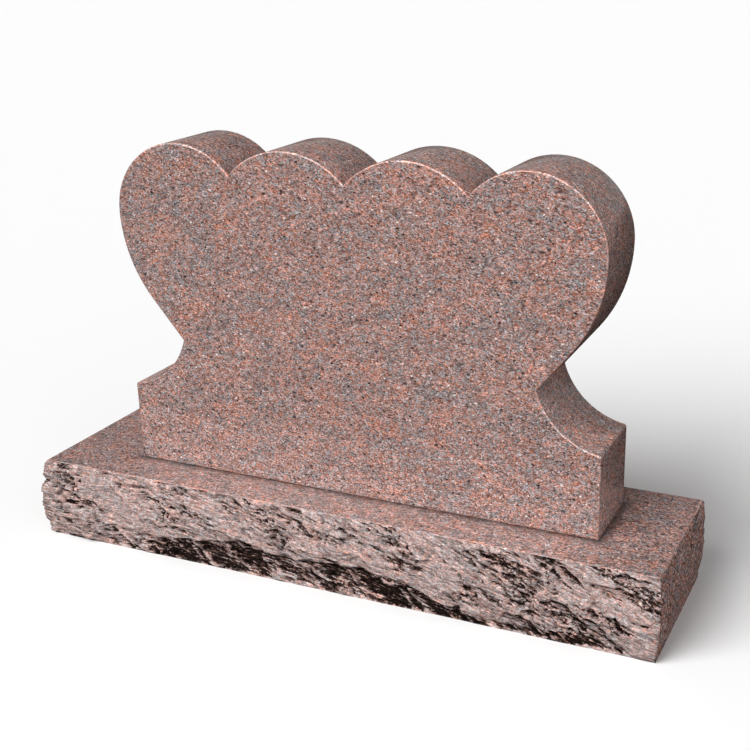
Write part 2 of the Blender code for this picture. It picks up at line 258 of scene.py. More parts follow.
def half_outline():
    """The tablet's right half from the foot of its right end to the middle notch, as (x, z)."""
    side = TABLET_WIDTH / 2
    notch_height = TABLET_HEIGHT - NOTCH_DEPTH

    cove_x = side - COVE_DEPTH + COVE_RADIUS
    cove_drop = math.sqrt(COVE_RADIUS**2 - (cove_x - side) ** 2)
    cove = (cove_x, FOOT_HEIGHT + cove_drop)
    cusp_height = FOOT_HEIGHT + CUSP_RISE
    cusp_in = math.sqrt(COVE_RADIUS**2 - (cove[1] - cusp_height) ** 2)
    cusp = (cove_x - cusp_in, cusp_height)

    corner_x = side - FOOT_CORNER_RADIUS
    reach = COVE_RADIUS + FOOT_CORNER_RADIUS
    corner = (corner_x, cove[1] - math.sqrt(reach**2 - (cove_x - corner_x) ** 2))
    corner_end = angle_from(corner, cove)

    overhang = side - NOTCH_SPACING
    lobe_radius = overhang + NOTCH_DEPTH - math.sqrt(2 * overhang * NOTCH_DEPTH)
    lobe = (side - lobe_radius, TABLET_HEIGHT - lobe_radius)

    widest_above_cusp = lobe[1] - cusp[1]
    overlap = side - cusp[0]
    fullest_radius = (overlap**2 + widest_above_cusp**2) / (2 * overlap)
    side_radius = min(HEART_SIDE_RADIUS, fullest_radius)
    heart_side = (side - side_radius, lobe[1])
    to_cusp = math.hypot(cusp[0] - heart_side[0], cusp[1] - heart_side[1])
    side_end = angle_from(heart_side, cusp) + math.acos(min(1.0, side_radius / to_cusp))

    half_chord = NOTCH_SPACING / 2
    inner_radius = (half_chord**2 + NOTCH_DEPTH**2) / (2 * NOTCH_DEPTH)
    inner = (half_chord, TABLET_HEIGHT - inner_radius)
    outer_notch = (NOTCH_SPACING, notch_height)
    middle_notch = (0.0, notch_height)

    points = [(side, 0.0), (side, corner[1])]
    points += arc_points(corner, FOOT_CORNER_RADIUS, 0.0, corner_end, FOOT_CORNER_RADIUS / 4)
    points += arc_points(cove, COVE_RADIUS, corner_end - math.pi, angle_from(cove, cusp))
    points += [on_circle(heart_side, side_radius, side_end)]
    points += arc_points(heart_side, side_radius, side_end, 0.0)
    points += arc_points(lobe, lobe_radius, 0.0, angle_from(lobe, outer_notch))
    points += arc_points(inner, inner_radius, angle_from(inner, outer_notch), angle_from(inner, middle_notch))
    return points


def add_piece(name, mesh, node, materials):
    piece = bpy.data.objects.new(name, mesh)
    bpy.context.scene.collection.objects.link(piece)
    for material in materials:
        mesh.materials.append(material)
    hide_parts(node)
    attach(piece, "root")
    return piece


def in_left_cove(face, middle_x, bed):
    middle = face.calc_center_median()
    return middle.x < middle_x - TABLET_WIDTH / 2 + COVE_DEPTH and middle.z < bed + FOOT_HEIGHT + CUSP_RISE


def make_tablet(materials):
    low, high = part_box("tablet")
    middle_x = (low.x + high.x) / 2
    right = half_outline()
    outline = right + [(-x, z) for x, z in reversed(right[:-1])]
    slab = bmesh.new()
    front = [slab.verts.new((middle_x + x, low.y, low.z + z)) for x, z in outline]
    back = [slab.verts.new((middle_x + x, high.y, low.z + z)) for x, z in outline]
    slab.faces.new(front)
    slab.faces.new(list(reversed(back)))
    count = len(outline)
    for i in range(count):
        j = (i + 1) % count
        slab.faces.new((front[j], front[i], back[i], back[j]))
    bmesh.ops.recalc_face_normals(slab, faces=slab.faces)
    rims = [e for e in slab.edges if abs(e.verts[0].co.y - e.verts[1].co.y) < TABLET_THICKNESS / 2]
    bmesh.ops.bevel(
        slab, geom=rims, offset=ARRIS_WIDTH, offset_type="OFFSET", segments=ARRIS_SEGMENTS,
        profile=0.5, affect="EDGES", clamp_overlap=False, material=TABLET_ARRIS,
    )
    for edge in slab.edges:
        if len(edge.link_faces) == 2:
            edge.smooth = edge.calc_face_angle() < math.radians(SMOOTH_UP_TO_DEGREES)
    for face in slab.faces:
        face.smooth = abs(face.normal.y) < 0.9999
        if face.material_index == TABLET_FACE and face.smooth:
            face.material_index = TABLET_SIDES
        # Arris faces in the left cove take the sides' finish, without the painted arris highlight
        elif face.material_index == TABLET_ARRIS and in_left_cove(face, middle_x, low.z):
            face.material_index = TABLET_SIDES
    mesh = bpy.data.meshes.new("tablet_stone")
    slab.to_mesh(mesh)
    slab.free()
    return add_piece("tablet_stone", mesh, "tablet", materials)


def smooth_step(value, low, high):
    share = min(1.0, max(0.0, (value - low) / (high - low)))
    return share * share * (3.0 - 2.0 * share)


def strewn_ledges(seed, half_length):
    draw = random.Random(seed)
    ledges = []
    for _ in range(round(STREWN_LEDGES_PER_METRE * 2 * half_length)):
        height = BASE_HEIGHT * draw.uniform(*STREWN_LEDGE_HEIGHT_SHARES)
        start = (draw.uniform(-half_length, half_length), height)
        run = draw.uniform(*STREWN_LEDGE_LENGTH)
        lean = LEAN_OF_FACETS * draw.uniform(*STREWN_LEDGE_LEANS)
        end = (start[0] + run, start[1] + run * lean)
        ledges.append((start, end, draw.uniform(*STREWN_LEDGE_DEPTH), draw.uniform(*STREWN_LEDGE_REACH)))
    return ledges


def strewn_cracks(seed, side_length):
    draw = random.Random(seed)
    cracks = []
    for _ in range(round(CRACKS_PER_SQUARE_METRE * side_length * BASE_HEIGHT)):
        start = (draw.uniform(-0.5, 0.5) * side_length, draw.uniform(0.05, 1.0) * BASE_HEIGHT)
        run = draw.uniform(*CRACK_LENGTH)
        end = (start[0] + run, start[1] + run * draw.uniform(*CRACK_LEANS))
        cracks.append((start, end, draw.uniform(*CRACK_DEPTH), draw.uniform(*CRACK_REACH)))
    return cracks


def eased(values, low, high):
    share = np.clip((values - low) / (high - low), 0.0, 1.0)
    return share * share * (3.0 - 2.0 * share)


def ledge_hollows(along, up, ledges, lip):
    """Depth of the hollows under a side's ledges: sharp at each lip, running out below it."""
    total = np.zeros_like(along)
    for (start_x, start_z), (end_x, end_z), depth, reach in ledges:
        run_x, run_z = end_x - start_x, end_z - start_z
        squared = run_x * run_x + run_z * run_z
        off_x, off_z = along - start_x, up - start_z
        share = np.clip((off_x * run_x + off_z * run_z) / squared, 0.0, 1.0)
        below = (off_x * run_z - off_z * run_x) / math.sqrt(squared)
        taper = np.sqrt(np.sin(math.pi * share))
        total += depth * taper * eased(below, 0.0, lip) * np.exp(-((below / reach) ** 4))
    return total


def facets(along, up, noise_depth, length, height):
    """Height of a broken surface made of tilted planes, one for each cell of a leaning pattern."""
    leaning = up - LEAN_OF_FACETS * along
    place = Vector((along / length, leaning / height, noise_depth))
    distances, middles = noise.voronoi(place)
    total = 0.0
    weights = 0.0
    for distance, middle in zip(distances[:3], middles[:3]):
        weight = max(0.0, 1.0 - (distance - distances[0]) / FACET_BLEND) ** 2
        if weight == 0.0:
            continue
        drawn = noise.cell_vector(middle * FACET_SCATTER)
        away = place - middle
        plane = FACET_TILT * (drawn.x - 0.5) * away.x
        plane += FACET_TILT * (drawn.y - FACET_TILT_UPWARDS) * away.y
        plane += FACET_STEP_OUT * (drawn.z - 0.5)
        total += weight * plane
        weights += weight
    return total / weights


def belly(up, crest):
    """Share of a side's belly at a height: none at the top's edge, all of it at the crest."""
    if up >= crest:
        return math.sin(math.pi / 2 * (BASE_HEIGHT - up) / (BASE_HEIGHT - crest)) ** BELLY_FULLNESS
    return BELLY_FOOT_SHARE + (1.0 - BELLY_FOOT_SHARE) * math.sin(math.pi / 2 * up / crest)


def point_relief(along, up, side):
    """At one point of a side: its broken relief, the warp of its borders, belly, pits and fingers."""
    depth = side.noise_depth
    place = Vector((along, up, depth))
    warp = BORDER_WARP * noise.noise_vector(place / BORDER_WARP_SIZE)
    warp += RAGGED_WARP * noise.noise_vector(place / RAGGED_WARP_SIZE)
    warped = (along + warp.x, up + warp.y)
    broken = FACET_RELIEF * facets(*warped, depth, FACET_LENGTH, FACET_HEIGHT)
    broken += CHIP_RELIEF * facets(*warped, depth + CHIPS_NOISE_SHIFT, CHIP_LENGTH, CHIP_HEIGHT)
    fine = SHARD_RELIEF * facets(*warped, depth + SHARD_NOISE_SHIFT, SHARD_LENGTH, SHARD_HEIGHT)
    broken += ROUGHNESS_RELIEF * noise.fractal(place / ROUGHNESS_SIZE, 1.0, 2.0, ROUGHNESS_OCTAVES)
    broken += GRIT_RELIEF * noise.fractal(place / GRIT_SIZE, 0.6, 2.0, GRIT_OCTAVES)

    # Streaks lie nearly level at the left of a side and lean more and more towards its right
    passed = along + side.length / 2
    lean_change = (STREAK_LEANS[1] - STREAK_LEANS[0]) / (2 * side.length)
    fallen = passed * (STREAK_LEANS[0] + lean_change * passed)
    streak = Vector((along / STREAK_LENGTH, (up - fallen + STREAK_WAVER * warp.x) / STREAK_WIDTH, depth))
    fine += STREAK_RELIEF * (abs(noise.noise(streak)) + 0.5 * abs(noise.noise(2.1 * streak)) - 0.2)
    slanted = SPLINTER_RELIEF * (SPLINTER_LEAST + (1.0 - SPLINTER_LEAST) * passed / side.length)
    run = along + SPLINTER_LEAN * up + 0.4 * warp.z
    across = up - SPLINTER_LEAN * along + 0.5 * warp.x
    splinter = Vector((run / SPLINTER_LENGTH, across / SPLINTER_WIDTH, depth + 1.5))
    fine += slanted * (abs(noise.noise(splinter)) - 0.2)
    wander = noise.noise(Vector((along / CREST_WANDER_LENGTH, 0.0, depth)))
    on_ridge = (up - RIDGE_HEIGHT - CREST_WANDER * wander) / RIDGE_HALF_HEIGHT
    calm = noise.noise(Vector((along / CALM_LENGTH, (up - fallen) / CALM_HEIGHT, depth + 4.5)))
    calm += RIDGE_CALM * math.exp(-on_ridge * on_ridge)
    rough = 1.0 - CALM_SHARE * smooth_step(calm, *CALM_STARTS)
    broken += side.fine * rough * fine
    band = noise.noise(Vector((run / PIT_BANDS, 2.2 * across / PIT_BANDS, depth + 3.0)))
    hole = noise.noise(Vector((run / PIT_LENGTH, across / PIT_HEIGHT, depth + 6.0)))
    band = 1.3 * band + side.pits * (0.5 + along / side.length) ** 2
    pit = side.fine * rough * smooth_step(hole + band, *PIT_STARTS)
    pitted = rough * smooth_step(band, *PITTED_STARTS)
    across = up - FINGER_LEAN * along + warp.x
    finger = noise.noise(Vector((along / FINGER_LENGTH, across / FINGER_WIDTH, depth + 8.0)))
    finger = 1.0 - FINGER_SHARE * smooth_step(finger, *FINGER_STARTS)
    bulge = belly(up, CREST_HEIGHT + CREST_WANDER * wander)
    return broken, warp.x, warp.y, bulge, pit, finger, 1.0 - rough, pitted


def blurred(values, radius):
    """A grid of values, averaged over a square window, with its edges repeated outwards."""
    for axis in (0, 1):
        pad = [(0, 0), (0, 0)]
        pad[axis] = (radius + 1, radius)
        total = np.cumsum(np.pad(values, pad, mode="edge"), axis=axis)
        size = 2 * radius + 1
        if axis == 0:
            values = (total[size:] - total[:-size]) / size
        else:
            values = (total[:, size:] - total[:, :-size]) / size
    return values


def side_grid(side, heights, crack_seed):
    """Along positions of one side, with the relief and the painted shade value of each grid point."""
    count = round(side.length / side.step)
    alongs = [side.length * (i / count - 0.5) for i in range(count + 1)]
    along, up = np.meshgrid(alongs, heights, indexing="ij")
    found = np.array([[point_relief(x, z, side) for z in heights] for x in alongs])
    broken, warp_x, warp_z, bulge, pit, finger, calm, pitted = np.moveaxis(found, 2, 0)
    warped = (along + LEDGE_WARP_SHARE * warp_x, up + LEDGE_WARP_SHARE * warp_z)
    ledges = [(start, end, depth, reach * UNDERCUT_REACH_SHARE) for start, end, depth, reach in side.ledges]
    hollow = finger * ledge_hollows(*warped, ledges, LEDGE_LIP)
    fingered = (1.0 - FINGERED_SHARE_OF_BANDS) + FINGERED_SHARE_OF_BANDS * finger
    hollow += fingered * ledge_hollows(*warped, side.bands, LEDGE_LIP)
    cracks = ledge_hollows(*warped, strewn_cracks(crack_seed, side.length), CRACK_LIP)
    cracks = side.fine * cracks + PIT_DEPTH * pit
    broken = broken - hollow - cracks
    broken *= eased(BASE_HEIGHT - up, 0.0, PITCH_LINE_DEPTH) * eased(up, FOOT_LINE_START, FOOT_LINE_DEPTH)
    to_corner = eased(side.length / 2 - np.abs(along), 0.0, CORNER_ROUNDING)
    rounding = 1.0 - side.setback * (1.0 - to_corner)
    relief = side.reach * BELLY_SHARE * bulge * rounding + side.brokenness * broken
    relief = np.where(relief < SQUASHED_BELOW, SQUASHED_BELOW + SQUASH * (relief - SQUASHED_BELOW), relief)
    relief = np.clip(relief, -DEEPEST_HOLLOW, side.reach)
    relief[:, -1] = np.minimum(relief[:, -1], TOP_EDGE_REACH)
    # Painted shade for the rock face: darker in hollows, under ledges, in cracks and pits, towards the foot
    # and in pitted bands
    sunk = (blurred(relief, round(HOLLOW_BLUR / side.step)) - relief) / HOLLOW_FULL
    under = side.brokenness * (hollow + cracks) / UNDERCUT_FULL
    shade = FOOT_SHADE * finger * eased(FOOT_SHADE_HEIGHT - up, 0.0, FOOT_SHADE_HEIGHT)
    painted_shade_value = SUNK_PAINTED_SHADE * sunk + under + shade + PITTED_SHADE * pitted - CALM_PAINTED_LIGHT * calm
    # Less painted shade is allowed above the ridge
    most = 1.0 - (1.0 - PAINTED_SHADE_CAP_ABOVE_RIDGE) * eased(up, 0.5 * RIDGE_HEIGHT, RIDGE_HEIGHT)
    return alongs, relief, np.clip(painted_shade_value, -1.0, most)


def make_base(materials):
    noise.seed_set(BORDER_SEED)
    low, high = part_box("base")
    half_x, half_y = BASE_LENGTH / 2, BASE_DEPTH / 2
    rows = round((BASE_HEIGHT - BASE_ARRIS) / ROCK_STEP_UP)
    heights = [(BASE_HEIGHT - BASE_ARRIS) * j / rows for j in range(rows + 1)]
    back_ledges = strewn_ledges(BACK_SEED, half_x)
    right_ledges = strewn_ledges(RIGHT_END_SEED, half_y)
    left_ledges = strewn_ledges(LEFT_END_SEED, half_y)
    front = Side(
        1, -1, BASE_LENGTH, FRONT_NOISE_DEPTH, FRONT_REACH, FULLY_BROKEN,
        FRONT_LEDGES, UNDERCUT_BAND, FRONT_STEP, 0.46, 1.0, CORNER_SETBACK_SHARE,
    )
    right = Side(
        0, 1, BASE_DEPTH, RIGHT_END_NOISE_DEPTH, RIGHT_END_REACH, RIGHT_END_BROKEN,
        right_ledges, (), END_STEP, -0.60, 0.4, CORNER_SETBACK_SHARE,
    )
    back = Side(
        1, 1, BASE_LENGTH, BACK_NOISE_DEPTH, BACK_REACH, FULLY_BROKEN,
        back_ledges, (), BACK_STEP, 0.10, 1.0, CORNER_SETBACK_SHARE,
    )
    left = Side(
        0, -1, BASE_DEPTH, LEFT_END_NOISE_DEPTH, LEFT_END_REACH, LEFT_END_BROKEN,
        left_ledges, (), END_STEP, -0.10, 0.7, 0.05,
    )

    # Four grids in a ring, anticlockwise from the front left corner; a corner belongs to two sides
    ring = []
    for seed, (side, way) in enumerate(((front, 1), (right, 1), (back, -1), (left, -1)), 1):
        alongs, relief, painted_relief_shade = side_grid(side, heights, seed)
        columns = list(zip(alongs, relief, painted_relief_shade))[::way]
        ring.append((side, columns))
    columns = []
    for k, (side, own) in enumerate(ring):
        before, earlier = ring[k - 1]
        # The right end takes the darker granite, painted shade on the end turned from the light
        finish = BASE_RIGHT_END if side is right else BASE_ROCK
        for i, (along, relief, painted_relief_shade) in enumerate(own[:-1]):
            out = np.zeros((len(heights), 3))
            out[:, side.axis] = relief * side.facing
            painted_shade_value = painted_relief_shade
            if i == 0:
                out[:, before.axis] = earlier[-1][1] * before.facing
                painted_shade_value = np.maximum(painted_relief_shade, earlier[-1][2])
            out[:, side.axis] += side.facing * (half_x, half_y)[side.axis]
            if i == 0:
                out[:, before.axis] += before.facing * (half_x, half_y)[before.axis]
            else:
                out[:, 1 - side.axis] += along
            out[:, 2] = heights
            columns.append((out, painted_shade_value, finish))

    block = bmesh.new()
    # Each vertex carries its painted shade value for the rock's material
    painted_shade_layer = block.verts.layers.float.new("painted_relief_shade")
    grid = []
    for out, painted_shade_value, _ in columns:
        column = []
        for place, value in zip(out, painted_shade_value):
            vertex = block.verts.new(place)
            vertex[painted_shade_layer] = value
            column.append(vertex)
        grid.append(column)
    inset_x = 1.0 - BASE_ARRIS / half_x
    inset_y = 1.0 - BASE_ARRIS / half_y
    rim = []
    for column in grid:
        edge = column[-1].co
        x = max(-half_x, min(half_x, edge.x)) * inset_x
        y = max(-half_y, min(half_y, edge.y)) * inset_y
        rim.append(block.verts.new((x, y, BASE_HEIGHT)))
    count = len(grid)
    for i in range(count):
        here, there = grid[i], grid[(i + 1) % count]
        for j in range(len(heights) - 1):
            face = block.faces.new((here[j], there[j], there[j + 1], here[j + 1]))
            face.smooth = True
            face.material_index = columns[i][2]
        face = block.faces.new((here[-1], there[-1], rim[(i + 1) % count], rim[i]))
        face.material_index = BASE_EDGE_SLOT
    top = block.faces.new(rim)
    top.material_index = BASE_TOP
    block.faces.new([column[0] for column in reversed(grid)])
    block.normal_update()
    for edge in block.edges:
        flats = [face for face in edge.link_faces if not face.smooth]
        edge.smooth = not flats
    mesh = bpy.data.meshes.new("base_stone")
    block.to_mesh(mesh)
    block.free()
    return add_piece("base_stone", mesh, "base", materials)


class Nodes:
    """A small helper that adds nodes and links them in one material's tree."""

    def __init__(self, material):
        material.use_nodes = True
        self.tree = material.node_tree
        self.shader = self.tree.nodes["Principled BSDF"]

    def add(self, kind, settings=None, **inputs):
        node = self.tree.nodes.new(kind)
        for key, value in (settings or {}).items():
            setattr(node, key, value)
        for key, value in inputs.items():
            self.feed(node.inputs[key.replace("_", " ")], value)
        return node

    def feed(self, socket, value):
        if isinstance(value, bpy.types.NodeSocket):
            self.tree.links.new(value, socket)
        else:
            socket.default_value = value

    def math(self, operation, *values):
        node = self.tree.nodes.new("ShaderNodeMath")
        node.operation = operation
        for socket, value in zip(node.inputs, values):
            self.feed(socket, value)
        return node.outputs[0]

    def mix(self, share, first, second, blend="MIX"):
        node = self.tree.nodes.new("ShaderNodeMix")
        node.data_type = "RGBA"
        node.blend_type = blend
        self.feed(node.inputs[0], share)
        self.feed(node.inputs[6], first)
        self.feed(node.inputs[7], second)
        return node.outputs[2]

    def spread(self, value, low, high):
        node = self.tree.nodes.new("ShaderNodeMapRange")
        self.feed(node.inputs["Value"], value)
        node.inputs["From Min"].default_value = low
        node.inputs["From Max"].default_value = high
        return node.outputs[0]

    def ramp(self, share, stops):
        node = self.tree.nodes.new("ShaderNodeValToRGB")
        node.color_ramp.interpolation = "LINEAR"
        elements = node.color_ramp.elements
        while len(elements) > 1:
            elements.remove(elements[-1])
        elements[0].position, elements[0].color = stops[0]
        for position, colour in stops[1:]:
            elements.new(position).color = colour
        self.feed(node.inputs[0], share)
        return node.outputs[0]


def colour(red, green, blue):
    """Linear colour from the usual 0 to 255 screen values."""
    linear = []
    for value in (red, green, blue):
        share = value / 255
        linear.append(share / 12.92 if share <= 0.04045 else ((share + 0.055) / 1.055) ** 2.4)
    return (*linear, 1.0)


PINK_GRAIN = colour(177, 115, 93)
GREY_GRAIN = colour(128, 129, 132)
RED_CRYSTAL = colour(158, 84, 66)
DARK_CRYSTAL = colour(58, 52, 54)
BLACK_SPECK = colour(26, 22, 24)
WHITE_FLECK = colour(246, 238, 232)
FRESH_BREAK = colour(176, 163, 160)

# Finish of one kind of surface: brightness, grain contrast, share of pink over grey, lowest and
# highest roughness, strength and depth of its bumps, specular level, and grains per metre
Finish = namedtuple("Finish", (
    "gain contrast pink rough_low rough_high bump_strength bump_depth specular grains"
))


def grey(value):
    return (value, value, value, 1.0)


def leaning(nodes, place, degrees, stretch):
    """Coordinates stretched along a line in the stone's front plane that runs down to the right."""
    lean = nodes.add("ShaderNodeMapping", {"vector_type": "TEXTURE"}, Vector=place)
    lean.inputs["Rotation"].default_value = (0.0, math.radians(degrees), 0.0)
    lean.inputs["Scale"].default_value = (stretch, 1.0, 1.0)
    return lean.outputs[0]


def painted_contact_shadow(nodes, place, on_tablet):
    """A painted contact shadow: a dark band along the tablet's bed, on the tablet and on the base's top, that
    fades out over a few millimetres.
    """
    split = nodes.add("ShaderNodeSeparateXYZ")
    nodes.feed(split.inputs[0], place)
    low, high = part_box("tablet")
    if on_tablet:
        away = nodes.math("SUBTRACT", split.outputs[2], low.z)
        stops = ((0.0, 0.60), (0.0022, 0.85), (0.008, 1.0))
    else:
        sides = []
        for axis in (0, 1):
            centre, half = (low[axis] + high[axis]) / 2, (high[axis] - low[axis]) / 2
            off = nodes.math("ABSOLUTE", nodes.math("SUBTRACT", split.outputs[axis], centre))
            sides.append(nodes.math("SUBTRACT", off, half))
        away = nodes.math("MAXIMUM", *sides)
        stops = ((0.0, 0.34), (0.008, 0.50), (0.016, 0.76), (0.030, 1.0))
    reach = 0.030
    share = nodes.spread(away, 0.0, reach)
    return nodes.ramp(share, [(distance / reach, grey(shade)) for distance, shade in stops])


def bent(nodes, place, stretch):
    """Coordinates drawn out level at the left of the stone and leaning ever more towards its right."""
    split = nodes.add("ShaderNodeSeparateXYZ")
    nodes.feed(split.inputs[0], place)
    x, y, z = split.outputs
    passed = nodes.math("ADD", x, BASE_LENGTH / 2)
    lean_change = (STREAK_LEANS[1] - STREAK_LEANS[0]) / (2 * BASE_LENGTH)
    lean = nodes.math("ADD", nodes.math("MULTIPLY", passed, lean_change), STREAK_LEANS[0])
    fallen = nodes.math("MULTIPLY", passed, lean)
    joined = nodes.add("ShaderNodeCombineXYZ")
    nodes.feed(joined.inputs[0], nodes.math("DIVIDE", x, stretch))
    nodes.feed(joined.inputs[1], nodes.math("DIVIDE", y, stretch))
    nodes.feed(joined.inputs[2], nodes.math("SUBTRACT", z, fallen))
    return joined.outputs[0]


def painted_arris_highlight(nodes, place):
    """A painted highlight on the arris where it faces up and to the right, broken into patches."""
    facing = nodes.add("ShaderNodeVectorMath", {"operation": "DOT_PRODUCT"})
    nodes.feed(facing.inputs[0], nodes.add("ShaderNodeNewGeometry").outputs["Normal"])
    facing.inputs[1].default_value = ARRIS_HIGHLIGHT_TOWARDS
    patches = nodes.add("ShaderNodeTexNoise", Vector=place, Scale=110.0, Detail=3.0, Roughness=0.7)
    arris_highlight = nodes.math("MULTIPLY", nodes.spread(facing.outputs["Value"], 0.30, 0.85),
                      nodes.spread(patches.outputs["Fac"], 0.36, 0.56))
    return nodes.ramp(arris_highlight, ((0.0, grey(0.95)), (0.5, grey(1.5)), (1.0, grey(2.5))))


def granite(name, finish, broken=False, contact_shadow_on=None, arris_highlight=False):
    """Speckled rose granite: small long grains, each drawn as pink or grey and as dark or light."""
    material = bpy.data.materials.new(name)
    nodes = Nodes(material)
    place = nodes.add("ShaderNodeTexCoord").outputs["Object"]
    wobble = nodes.add("ShaderNodeTexNoise", Vector=place, Scale=300.0, Detail=1.0).outputs["Color"]
    centred = nodes.add("ShaderNodeVectorMath", {"operation": "SUBTRACT"})
    nodes.feed(centred.inputs[0], wobble)
    centred.inputs[1].default_value = (0.5, 0.5, 0.5)
    scaled = nodes.add("ShaderNodeVectorMath", {"operation": "SCALE"})
    nodes.feed(scaled.inputs[0], centred.outputs[0])
    scaled.inputs["Scale"].default_value = 0.0030
    moved = nodes.add("ShaderNodeVectorMath", {"operation": "ADD"})
    nodes.feed(moved.inputs[0], place)
    nodes.feed(moved.inputs[1], scaled.outputs[0])
    grain_place = leaning(nodes, moved.outputs[0], 3.0, 1.6)

    grains = nodes.add("ShaderNodeTexVoronoi", Vector=grain_place, Scale=finish.grains)
    drawn = nodes.add("ShaderNodeSeparateColor")
    nodes.feed(drawn.inputs[0], grains.outputs["Color"])
    clumps = nodes.add("ShaderNodeTexVoronoi", Vector=grain_place, Scale=170.0)
    clumped = nodes.add("ShaderNodeSeparateColor")
    nodes.feed(clumped.inputs[0], clumps.outputs["Color"])
    drift = nodes.add("ShaderNodeTexNoise", Vector=grain_place, Scale=28.0, Detail=3.0).outputs["Fac"]

    # Pink or grey: by the grain, then by its clump, then by the slow drift of the stone
    hue = nodes.math("MULTIPLY", drawn.outputs[1], 0.95)
    hue = nodes.math("ADD", hue, nodes.math("MULTIPLY", clumped.outputs[1], 0.45))
    hue = nodes.math("ADD", hue, nodes.math("MULTIPLY", drift, 0.8))
    hue = nodes.math("SUBTRACT", hue, nodes.math("MULTIPLY", drawn.outputs[0], 0.40))
    hue = nodes.spread(hue, 0.43 - finish.pink, 1.45 - finish.pink)
    stone = nodes.mix(hue, GREY_GRAIN, PINK_GRAIN)

    # Dark or light: by the grain, evened by contrast, with a few white flecks
    spread = finish.contrast
    tone = nodes.ramp(drawn.outputs[0], (
        (0.00, grey(1 - 0.80 * spread)),
        (0.16, grey(1 - 0.52 * spread)),
        (0.50, grey(1 - 0.04 * spread)),
        (0.86, grey(1 + 0.55 * spread)),
        (0.95, grey(1 + 0.75 * spread)),
        (1.00, grey(1 + 1.70 * spread)),
    ))
    stone = nodes.mix(1.0, stone, tone, "MULTIPLY")
    clump_tone = nodes.ramp(clumped.outputs[0], (
        (0.0, grey(1 - 0.22 * spread)), (1.0, grey(1 + 0.22 * spread)),
    ))
    stone = nodes.mix(1.0, stone, clump_tone, "MULTIPLY")

    # Larger crystals: some red feldspar, and a few dark ones
    crystals = nodes.add("ShaderNodeTexVoronoi", Vector=grain_place, Scale=105.0)
    picked = nodes.add("ShaderNodeSeparateColor")
    nodes.feed(picked.inputs[0], crystals.outputs["Color"])
    near = nodes.ramp(crystals.outputs["Distance"], ((0.25, grey(1)), (0.45, grey(0))))
    red_share = nodes.math("MULTIPLY", nodes.math("GREATER_THAN", picked.outputs[0], 0.90), near)
    stone = nodes.mix(nodes.math("MULTIPLY", red_share, 0.4), stone, RED_CRYSTAL)
    dark_share = nodes.math("MULTIPLY", nodes.math("LESS_THAN", picked.outputs[0], 0.035), near)
    stone = nodes.mix(nodes.math("MULTIPLY", dark_share, 0.85), stone, DARK_CRYSTAL)
    dots = nodes.add("ShaderNodeTexVoronoi", Vector=grain_place, Scale=210.0)
    dotted = nodes.add("ShaderNodeSeparateColor")
    nodes.feed(dotted.inputs[0], dots.outputs["Color"])
    wide = nodes.ramp(dots.outputs["Distance"], ((0.46, grey(1)), (0.56, grey(0))))
    black_share = nodes.math("MULTIPLY", nodes.math("LESS_THAN", dotted.outputs[0], 0.014), wide)
    stone = nodes.mix(nodes.math("MULTIPLY", black_share, 0.9), stone, BLACK_SPECK)
    close = nodes.ramp(dots.outputs["Distance"], ((0.34, grey(1)), (0.44, grey(0))))
    white_share = nodes.math("MULTIPLY", nodes.math("GREATER_THAN", dotted.outputs[0], 0.993), close)
    stone = nodes.mix(nodes.math("MULTIPLY", white_share, 0.8), stone, WHITE_FLECK)
    slow = nodes.ramp(drift, ((0.30, grey(0.92)), (0.70, grey(1.08))))
    stone = nodes.mix(1.0, stone, slow, "MULTIPLY")
    fine = nodes.add("ShaderNodeTexNoise", Vector=grain_place, Scale=330.0, Detail=3.0).outputs["Fac"]
    height = nodes.math("ADD", nodes.math("MULTIPLY", drawn.outputs[2], 0.4), fine)
    if broken:
        # Freshly split stone is paler, with fine flakes that have painted shade in their hollows
        stone = nodes.mix(0.35, stone, FRESH_BREAK)
        long_place = bent(nodes, moved.outputs[0], 7.0)
        flakes = nodes.add("ShaderNodeTexNoise", Vector=long_place, Scale=260.0, Detail=2.0)
        short_place = bent(nodes, moved.outputs[0], 2.8)
        specks = nodes.add("ShaderNodeTexNoise", Vector=short_place, Scale=420.0, Detail=1.0)
        flake = nodes.math("MULTIPLY", nodes.spread(flakes.outputs["Fac"], 0.28, 0.72), 0.65)
        speck = nodes.math("MULTIPLY", nodes.spread(specks.outputs["Fac"], 0.30, 0.70), 0.35)
        flake = nodes.math("ADD", flake, speck)
        crease = nodes.math("ABSOLUTE", nodes.math("SUBTRACT", flakes.outputs["Fac"], 0.5))
        crease_tone = nodes.ramp(crease, (
            (0.0, (0.52, 0.48, 0.46, 1)), (0.025, grey(0.86)), (0.06, grey(1.04)),
        ))
        # The mesh's painted relief value: painted shade in hollows, undercuts, cracks, pits and towards the
        # foot; below zero, painted light on calm parts and crests
        sunk = nodes.add("ShaderNodeAttribute", {"attribute_name": "painted_relief_shade"}).outputs["Fac"]
        ridge = nodes.spread(nodes.math("MULTIPLY", sunk, -1.0), 0.05, 0.60)
        flaky = nodes.math("SUBTRACT", 1.0, nodes.math("MULTIPLY", ridge, 0.55))
        stone = nodes.mix(flaky, stone, crease_tone, "MULTIPLY")
        flake_tone = nodes.ramp(flake, (
            (0.24, (0.34, 0.31, 0.30, 1)), (0.36, grey(0.76)), (0.50, grey(1.02)), (0.75, grey(1.34)),
        ))
        stone = nodes.mix(flaky, stone, flake_tone, "MULTIPLY")
        height = nodes.math("ADD", nodes.math("MULTIPLY", height, 0.16), nodes.math("MULTIPLY", flake, 0.9))
